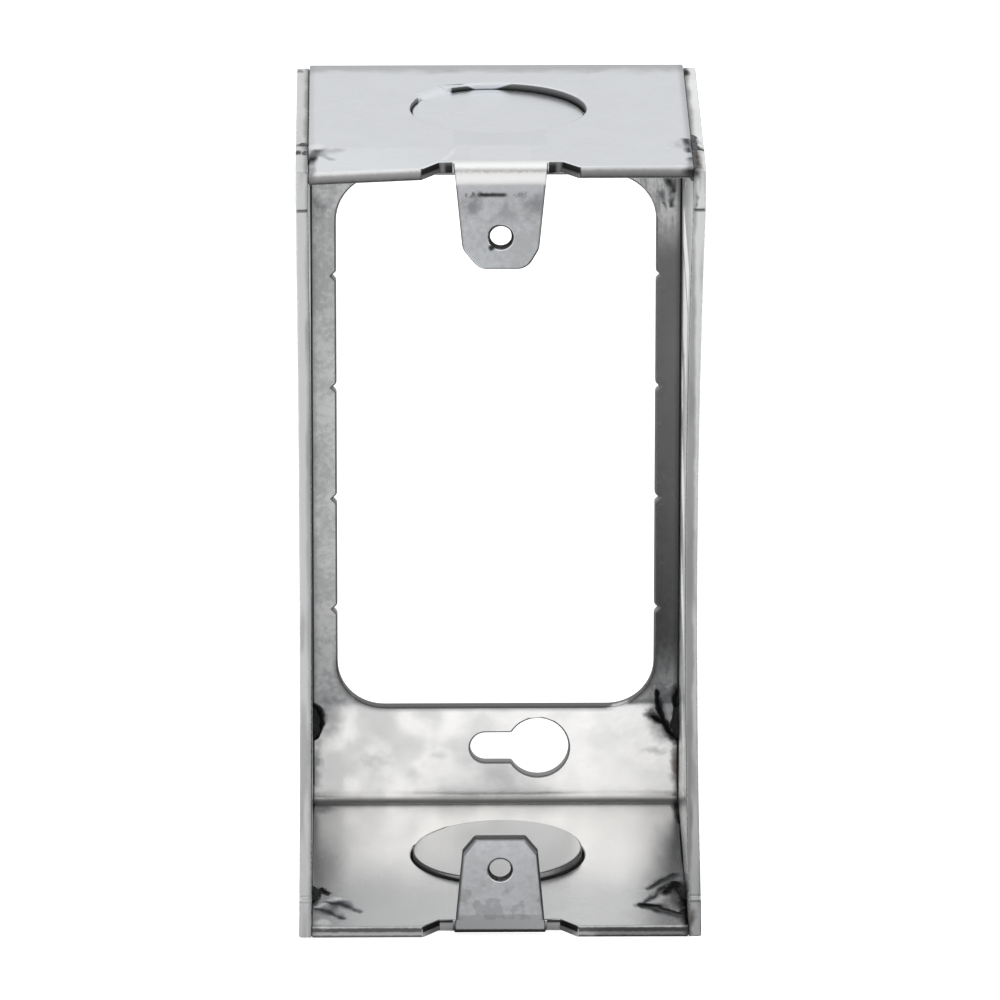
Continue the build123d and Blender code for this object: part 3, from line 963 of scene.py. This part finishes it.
def makeWelds():
    # on each side a bead along the bottom and top walls, and two up the back
    sink = weldBeads["sink"]
    radii = (weldBeads["length"] / 2, weldBeads["radius"])
    low, high = sheetSize["sheet"] + sink, sheetSize["height"] - sheetSize["sheet"] - sink
    blocks = []
    for number, side in enumerate((-1, 1)):
        cornerX = side * (sheetSize["inner"] - sink)
        blocks.append(lump((cornerX, weldBeads["wallY"], low), (0, 1, 0), radii, 10 * number))
        blocks.append(lump((cornerX, weldBeads["wallY"], high), (0, 1, 0), radii, 10 * number + 1))
        for level in (weldBeads["rise"], sheetSize["height"] - weldBeads["rise"]):
            centre = (cornerX, sheetSize["back"] - sink, level)
            blocks.append(lump(centre, (0, 0, 1), radii, 50 + len(blocks)))
    points, faces = joinBlocks(blocks)
    tone = np.full(len(points), weldBeads["tone"])
    welds = addPiece("cornerWelds", points, faces, burntWeld, tone)
    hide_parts("corner_welds")


# Splashes of weld metal, each a height field over one surface; paths, radius and rise are in millimetres

splashFaces = {
    "floor": {"origin": (0, 0, sheetSize["sheet"]), "axes": ((1, 0, 0), (0, 1, 0), (0, 0, 1))},
    "back": {"origin": (0, sheetSize["back"], 0), "axes": ((1, 0, 0), (0, 0, 1), (0, -1, 0))},
}


def stroke(path, radius, rise, tone=0.0):
    # tone is the paleness of the middle of the stroke
    return {"path": path, "radius": radius, "rise": rise, "tone": tone}


splashes = (
    {"face": "floor", "box": (-23.75, -20.6, -18.0, -8.6), "strokes": (
        stroke(((-23.7, -15.8), (-23.3, -12.8), (-22.6, -10.2)), 0.55, 0.30),
        stroke(((-22.9, -10.6), (-21.7, -12.2)), 0.45, 0.22),
    )},
    {"face": "floor", "box": (16.8, 23.75, -23.5, -4.4), "strokes": (
        stroke(((21.1, -12.4), (22.5, -8.9), (23.5, -14.0)), 1.0, 0.32),
        stroke(((22.9, -10.6), (23.6, -16.0), (23.6, -19.5), (23.6, -23.4)), 0.9, 0.30),
        stroke(((17.7, -16.5), (18.8, -16.8), (20.4, -17.3)), 0.9, 0.25),
        stroke(((19.8, -17.2), (21.6, -18.9), (23.6, -20.6)), 0.6, 0.22, 0.05),
        stroke(((19.4, -10.0), (21.0, -7.4), (22.4, -5.2)), 0.4, 0.18, 0.15),
    )},
    {"face": "back", "box": (-23.75, -20.6, 9.4, 15.8), "strokes": (
        stroke(((-23.7, 15.2), (-23.1, 14.6), (-22.75, 13.7), (-22.65, 12.6), (-22.9, 11.4), (-23.6, 10.3)),
               0.5, 0.35),
    )},
    {"face": "back", "box": (19.4, 23.75, 9.2, 17.6), "strokes": (
        stroke(((20.8, 17.0), (21.1, 15.0), (21.7, 13.1), (22.5, 11.4), (23.8, 10.0)), 0.46, 0.32),
        stroke(((20.2, 13.4), (21.0, 13.0), (21.8, 12.6)), 0.50, 0.28),
        stroke(((23.5, 17.2), (23.2, 15.4), (23.5, 13.6)), 0.42, 0.25),
    )},
)
splashShape = {"step": 0.1, "depth": 0.3, "floor": 0.5, "warp": 0.06, "rough": 0.16, "rimTone": 0.35}


def waves(u, v, seed, count=9):
    # sum of sine waves in all directions, with wavelengths from one to four millimetres
    rng = np.random.default_rng(seed)
    turn, phase = rng.uniform(0, 2 * math.pi, (2, count))
    wavelength = np.geomspace(1.0, 4.0, count)
    total = np.zeros_like(u)
    for angle, start, length in zip(turn, phase, wavelength):
        total += np.sin(2 * math.pi * (u * math.cos(angle) + v * math.sin(angle)) / length + start)
    return total / math.sqrt(count)


def strokeGap(u, v, path, radius):
    # distance to the nearest run of the path over the radius there, which narrows towards both ends
    lengths = [math.hypot(u1 - u0, v1 - v0) for (u0, v0), (u1, v1) in zip(path, path[1:])]
    gaps, before = [], 0.0
    for (u0, v0), (u1, v1), length in zip(path, path[1:], lengths):
        part = np.clip(((u - u0) * (u1 - u0) + (v - v0) * (v1 - v0)) / length ** 2, 0, 1)
        along = (before + part * length) / sum(lengths)
        narrowed = radius * (0.35 + 0.65 * np.sin(math.pi * along) ** 0.6)
        gaps.append(np.hypot(u - u0 - part * (u1 - u0), v - v0 - part * (v1 - v0)) / narrowed)
        before += length
    return np.min(gaps, axis=0)


def splashPatch(splash, seed):
    # height is the highest of the strokes, a parabola across each; where negative it hides in the sheet
    low, high, near, far = splash["box"]
    step, depth, warp = splashShape["step"], splashShape["depth"], splashShape["warp"]
    u, v = np.meshgrid(np.arange(low, high, step), np.arange(near, far, step), indexing="ij")
    warpU, warpV, rough = (waves(u, v, seed + k) for k in range(3))
    height, tone = np.full(u.shape, -depth), np.ones(u.shape)
    for drawn in splash["strokes"]:
        gap = strokeGap(u + warp * warpU, v + warp * warpV, drawn["path"], drawn["radius"])
        gap = gap * (1 + splashShape["rough"] * rough)
        height = np.maximum(height, drawn["rise"] * (1 - gap ** 2))
        # the middle keeps the stroke's own tone and the rim pales
        rimTone = splashShape["rimTone"] * np.clip(gap * 1.6 - 0.6, 0, 1) ** 1.5
        tone = np.minimum(tone, drawn["tone"] + rimTone)
    edge = np.minimum.reduce([u - low, u.max() - u, v - near, v.max() - v])
    height = np.maximum(np.minimum(height, edge * 2 - 0.05), -depth)
    face = splashFaces[splash["face"]]
    along, across, up = (np.asarray(axis, dtype=float) for axis in face["axes"])
    flat = np.asarray(face["origin"], dtype=float) + u[..., None] * along + v[..., None] * across
    return closedPatch(flat + height[..., None] * up, flat - splashShape["floor"] * up) + (tone,)


def closedPatch(top, bottom):
    # quads over the top, under the bottom and round the rim
    rows, columns, _ = top.shape
    index = np.arange(rows * columns).reshape(rows, columns)
    upper = np.stack([index[:-1, :-1], index[1:, :-1], index[1:, 1:], index[:-1, 1:]], axis=-1)
    upper = upper.reshape(-1, 4)
    lower = upper[:, ::-1] + rows * columns
    ring = np.concatenate([index[:-1, 0], index[-1, :-1], index[:0:-1, -1], index[0, :0:-1]])
    after = np.roll(ring, -1)
    wall = np.stack([ring + rows * columns, after + rows * columns, after, ring], axis=-1)
    return np.concatenate([top.reshape(-1, 3), bottom.reshape(-1, 3)]), np.concatenate([upper, lower, wall])


def makeSplashes():
    patches = [splashPatch(splash, 100 * number) for number, splash in enumerate(splashes)]
    points, faces = joinBlocks([patch[:2] for patch in patches])
    tone = np.concatenate([np.tile(patch[2].ravel(), 2) for patch in patches])
    addPiece("weldSplashes", points, faces, burntWeld, tone)


# Small lumps where the side plates were tacked along the top seams: centre, long axis, radii
seamLumps = (
    ((-24.2, -12.9, 101.05), (1, 0, 0), (1.0, 0.42)),
    ((-23.6, -14.8, 101.0), (0, 1, 0), (1.3, 0.45)),
    ((-24.3, -16.4, 100.95), (0, 1, 0), (1.1, 0.40)),
    ((24.1, -10.4, 101.0), (0, 1, 0), (1.5, 0.48)),
    ((24.3, -14.0, 101.0), (0, 1, 0), (2.0, 0.48)),
    ((24.0, -17.0, 101.0), (0, 1, 0), (1.8, 0.46)),
    ((24.0, -20.8, 100.95), (0, 1, 0), (2.2, 0.46)),
    ((23.9, -22.7, 100.3), (0, 0, 1), (1.0, 0.6)),
)
seamTone = 0.3


def makeSeamLumps():
    blocks = [lump(*values, 200 + number) for number, values in enumerate(seamLumps)]
    points, faces = joinBlocks(blocks)
    addPiece("seamTacks", points, faces, burntWeld, np.full(len(points), seamTone))


threadShape = {
    "radius": 1.52,
    "depth": 0.2,
    "pitch": 0.794,
    "inset": 9.13,
    "columns": 56,
    "rows": 30,
    "front": -23.7,
    "back": -22.3,
    "outer": 1.62,
}


def makeThreads():
    # ridge that winds round the bore: the radius dips by a cosine of depth over pitch less the turn
    front, back = threadShape["front"], threadShape["back"]
    turn = np.linspace(0, 2 * math.pi, threadShape["columns"], endpoint=False)[None, :]
    depth = np.linspace(front, back, threadShape["rows"])[:, None]
    fade = np.sin(math.pi * np.clip((depth - front) / (back - front), 0, 1)) ** 0.35
    wave = 0.5 + 0.5 * np.cos(2 * math.pi * depth / threadShape["pitch"] - turn)
    radius = threadShape["radius"] - threadShape["depth"] * wave * fade
    # an outer sleeve inside the sheet closes the ring
    radius = np.concatenate([radius, np.full_like(radius[:2], threadShape["outer"]), radius[:1]])
    depth = np.concatenate([depth, depth[-1:], depth[:1], depth[:1]]) + 0 * turn
    blocks = []
    for height in (threadShape["inset"], sheetSize["height"] - threadShape["inset"]):
        grid = np.stack([radius * np.cos(turn), depth, height + radius * np.sin(turn)], axis=-1)
        blocks.append(wrapGrid(grid))
    points, faces = joinBlocks(blocks)
    addPiece("earThreads", points, faces, threadSteel)


makeWelds()
makeSplashes()
makeSeamLumps()
makeThreads()
print("welds and threads made")

# Floor, light and camera

studio = {
    "floorHalf": 800,
    "floorColour": (0.86, 0.86, 0.86),
    "floorGlow": 0.75,
    "rear": 0.82,
    "horizon": 0.6,
    "gap": 0.62,
    "high": 1.08,
    "front": 1.06,
    "diffuse": 0.6,
}


def layFlat(name, span, level, material):
    # a level rectangle, from left to right and from near to far, in millimetres
    left, right, near, far = (edge * mm for edge in span)
    height = level * mm
    mesh = bpy.data.meshes.new(name)
    corners = [(left, near, height), (right, near, height), (right, far, height), (left, far, height)]
    mesh.from_pydata(corners, [], [(0, 1, 2, 3)])
    mesh.materials.append(material)
    flat = bpy.data.objects.new(name, mesh)
    scene.collection.objects.link(flat)
    return flat


def rayKinds(tree, *kinds):
    path = addNode(tree, "ShaderNodeLightPath")
    return [Wire(tree, path.outputs["Is " + kind + " Ray"]) for kind in kinds]


def makeFloor():
    # pale and matt, and lifted towards white where the camera or a reflection sees it
    material, tree = emptyMaterial("paleFloor")
    camera, glossy, through = rayKinds(tree, "Camera", "Glossy", "Transmission")
    seen = larger(larger(camera, glossy), through)
    matt = wire(tree, "ShaderNodeBsdfDiffuse", {"Color": (*studio["floorColour"], 1.0)})
    glow = wire(tree, "ShaderNodeEmission", {"Strength": studio["floorGlow"]})
    both = wire(tree, "ShaderNodeAddShader", {0: matt, 1: glow})
    mixed = wire(tree, "ShaderNodeMixShader", {0: seen, 1: matt, 2: both})
    addNode(tree, "ShaderNodeOutputMaterial", {0: mixed})
    half = studio["floorHalf"]
    floor = layFlat("floor", (-half, half, -half, half), 0, material)


def makeWorld():
    # white to the camera; reflections see a bright front, a gap overhead and a dimmer rear
    world = bpy.data.worlds.new("studioWorld")
    scene.world = world
    world.use_nodes = True
    tree = world.node_tree
    tree.nodes.clear()
    camera, glossy, through, diffuse = rayKinds(tree, "Camera", "Glossy", "Transmission", "Diffuse")
    rearward = separate(wire(tree, "ShaderNodeTexCoord", output="Generated"))[1]
    sky = ramp(rearward, 0.5, 0.94, studio["high"], studio["rear"])
    ahead = ramp(rearward, -0.8, -0.6, studio["front"] / studio["high"], 1 / studio["high"])
    sky = sky * ramp(rearward, -0.6, -0.4, ahead, 1.0)
    sky = sky * ramp(rearward, 0.955, 0.995, 1.0, studio["horizon"])
    overhead = ramp(band(rearward, -0.55, -0.42, 0.07), 0.0, 1.0, 1.0, studio["gap"])
    reflected = glossy * (sky * overhead)
    strength = larger(larger(camera, through), larger(reflected, diffuse * studio["diffuse"]))
    back = wire(tree, "ShaderNodeBackground", {"Color": (1, 1, 1, 1), "Strength": strength})
    addNode(tree, "ShaderNodeOutputWorld", {0: back})


# Grey cards lie where the studio round the object was dark; only reflections see them, apart from the one
# that darkens the floor under the bottom wall, where its knockout lets the eye through
cards = {
    "rightCard": {"grey": 0.02, "span": (12, 140, -205, -19), "level": 0.1},
    "rightFarCard": {"grey": 0.60, "span": (12, 140, -270, -205), "level": 0.1},
    "rightSideCard": {"grey": 0.60, "span": (140, 400, -270, -19), "level": 0.1},
    "leftNearCard": {"grey": 0.46, "span": (-400, 12, -58, -19), "level": 0.1},
    "leftFarCard": {"grey": 0.80, "span": (-400, 12, -270, -58), "level": 0.1},
    "frontCard": {"grey": 0.41, "span": (-400, 400, -700, -270), "level": 0.1},
    "underCard": {"grey": 0.03, "span": (-27, 27, -23.3, -19), "level": 0.14},
    "rearCard": {"grey": 0.80, "span": (-400, 400, 26, 700), "level": 0.1},
    "shadowCard": {"grey": 0.03, "span": (-13, 13, -11, 16), "level": 0.05, "seen": True},
}


def makeCard(name, values):
    material, tree = emptyMaterial(name + "Paper")
    glow = wire(tree, "ShaderNodeEmission", {"Color": (values["grey"],) * 3 + (1.0,)})
    addNode(tree, "ShaderNodeOutputMaterial", {0: glow})
    card = layFlat(name, values["span"], values["level"], material)
    card.visible_camera = values.get("seen", False)
    card.visible_shadow = False
    card.visible_diffuse = False


topLamp = {"place": (-0.25, 0.25, 0.75), "aim": (0, 0, 0.05), "size": 0.6, "power": 1.2}  # metres, watts


def makeLamp():
    lamp = bpy.data.lights.new("topLamp", "AREA")
    lamp.energy = topLamp["power"]
    lamp.size = topLamp["size"]
    lampObject = bpy.data.objects.new("topLamp", lamp)
    lampObject.location = topLamp["place"]
    aim = Vector(topLamp["aim"]) - Vector(topLamp["place"])
    lampObject.rotation_euler = aim.to_track_quat("-Z", "Y").to_euler()
    lampObject.visible_glossy = False
    scene.collection.objects.link(lampObject)


# Angles in degrees, lengths in millimetres
shot = {
    "azimuth": -0.762,
    "elevation": 18.296,
    "roll": 0.059,
    "distance": 1370.64,
    "target": (0.24, 0.0, 50.40),
    "lens": 388.485,
    "sensor": 36.0,
    "nearest": 50,
}


def makeCamera():
    # the camera stands at its distance along the backward axis from the target
    az, el = math.radians(shot["azimuth"]), math.radians(shot["elevation"])
    backward = Vector((math.sin(az) * math.cos(el), -math.cos(az) * math.cos(el), math.sin(el)))
    right = Vector((math.cos(az), math.sin(az), 0.0))
    up = backward.cross(right)
    axes = Matrix((right, up, backward)).transposed()
    axes = axes @ Matrix.Rotation(math.radians(shot["roll"]), 3, "Z")
    data = bpy.data.cameras.new("photoCamera")
    data.sensor_width = shot["sensor"]
    data.lens = shot["lens"]
    data.clip_start = shot["nearest"] * mm
    camera = bpy.data.objects.new("photoCamera", data)
    eye = (Vector(shot["target"]) + shot["distance"] * backward) * mm
    camera.matrix_world = Matrix.Translation(eye) @ axes.to_4x4()
    scene.collection.objects.link(camera)
    scene.camera = camera


makeFloor()
makeWorld()
for name, values in cards.items():
    makeCard(name, values)
makeLamp()
makeCamera()
scene.view_settings.view_transform = "Standard"
print("studio ready")

bpy.context.view_layer.update()
